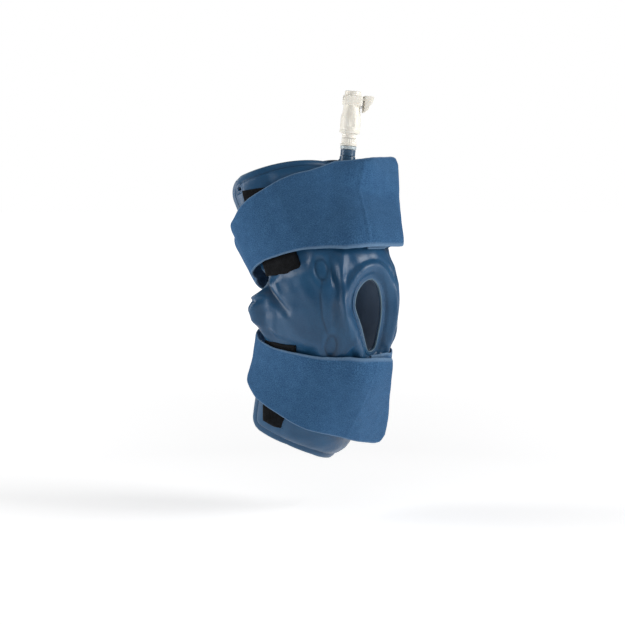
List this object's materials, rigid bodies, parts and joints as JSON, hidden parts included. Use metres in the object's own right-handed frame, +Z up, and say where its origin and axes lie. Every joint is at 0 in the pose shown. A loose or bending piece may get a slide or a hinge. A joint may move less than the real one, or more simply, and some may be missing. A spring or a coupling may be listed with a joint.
{
  "type": "cold compression knee wrap",
  "caption": "Knee cryo wrap as worn on a bent knee: welded water bladder with a kneecap opening, hook pads, two loop straps with peeling ends and a sprung quick-disconnect inlet.",
  "frame": {"origin": "centre of the knee that the wrap is worn on, on the axis that it bends about", "axes": "+Z up with the knee bent about 60 degrees, kneecap opening towards -Y, the wearer's right (outer) side towards -X"},
  "size_m": [0.1669, 0.1688, 0.3411],
  "materials": {
    "bladder_film": "satin coated nylon film, welded",
    "liner_cloth": "brushed nylon tricot",
    "strap_loop": "matt brushed loop laminate",
    "hook_tape": "moulded hook tape",
    "blue_tube": "satin vinyl tube",
    "white_plastic": "moulded acetal, satin",
    "clear_sleeve": "clear sleeve",
    "spring_steel": "drawn wire",
    "seal_rubber": "moulded nitrile"
  },
  "bodies": {
    "thigh_cuff": {"thigh_outer_panel": "bladder_film", "thigh_inner_liner": "liner_cloth", "knee_outer_panel": "bladder_film", "knee_inner_liner": "liner_cloth", "thigh_hook_pad_lateral": "hook_tape", "thigh_hook_pad_medial": "hook_tape", "thigh_strap_band": "strap_loop", "inlet_port": "blue_tube", "inlet_tube": "blue_tube", "tube_sleeve": "clear_sleeve", "hose_barb": "white_plastic", "coupling_body": "white_plastic", "socket_seal": "seal_rubber", "latch_spring": "spring_steel", "valve_spring": "spring_steel"},
    "calf_cuff": {"calf_outer_panel": "bladder_film", "calf_inner_liner": "liner_cloth", "calf_hook_pad_lateral": "hook_tape", "calf_hook_pad_medial": "hook_tape", "calf_strap_band": "strap_loop"},
    "thigh_free_end": {"thigh_strap_tab": "strap_loop", "thigh_tab_hook": "hook_tape"},
    "calf_free_end": {"calf_strap_tab": "strap_loop", "calf_tab_hook": "hook_tape"},
    "latch": {"thumb_latch": "white_plastic"},
    "valve": {"valve_poppet": "white_plastic", "valve_seal": "seal_rubber"}
  },
  "joints": [
    {"name": "knee_flex", "type": "hinge", "parent": "thigh_cuff", "child": "calf_cuff", "pos_m": [0, 0, 0], "axis": [1, 0, 0], "range_deg": [-35, 25], "deforming": ["knee_outer_panel", "knee_inner_liner"]},
    {"name": "thigh_tab_peel", "type": "hinge", "parent": "thigh_cuff", "child": "thigh_free_end", "pos_m": [0.02076, -0.04897, 0.09777], "axis": [-0.4914, -0.5008, -0.7126], "range_deg": [0, 110]},
    {"name": "calf_tab_peel", "type": "hinge", "parent": "calf_cuff", "child": "calf_free_end", "pos_m": [0.01681, -0.04999, -0.09198], "axis": [0.358, 0.5711, -0.7387], "range_deg": [0, 110]},
    {"name": "latch_press", "type": "slide", "parent": "thigh_cuff", "child": "latch", "axis": [-0.8619, 0.4993, 0.0882], "range_m": [0, 0.0022], "stiffness_N_per_m": 400, "springref_m": -0.002, "deforming": ["latch_spring"]},
    {"name": "valve_lift", "type": "slide", "parent": "thigh_cuff", "child": "valve", "axis": [-0.0847, 0.0299, -0.996], "range_m": [0, 0.004], "stiffness_N_per_m": 300, "springref_m": -0.003, "deforming": ["valve_spring"]}
  ]
}
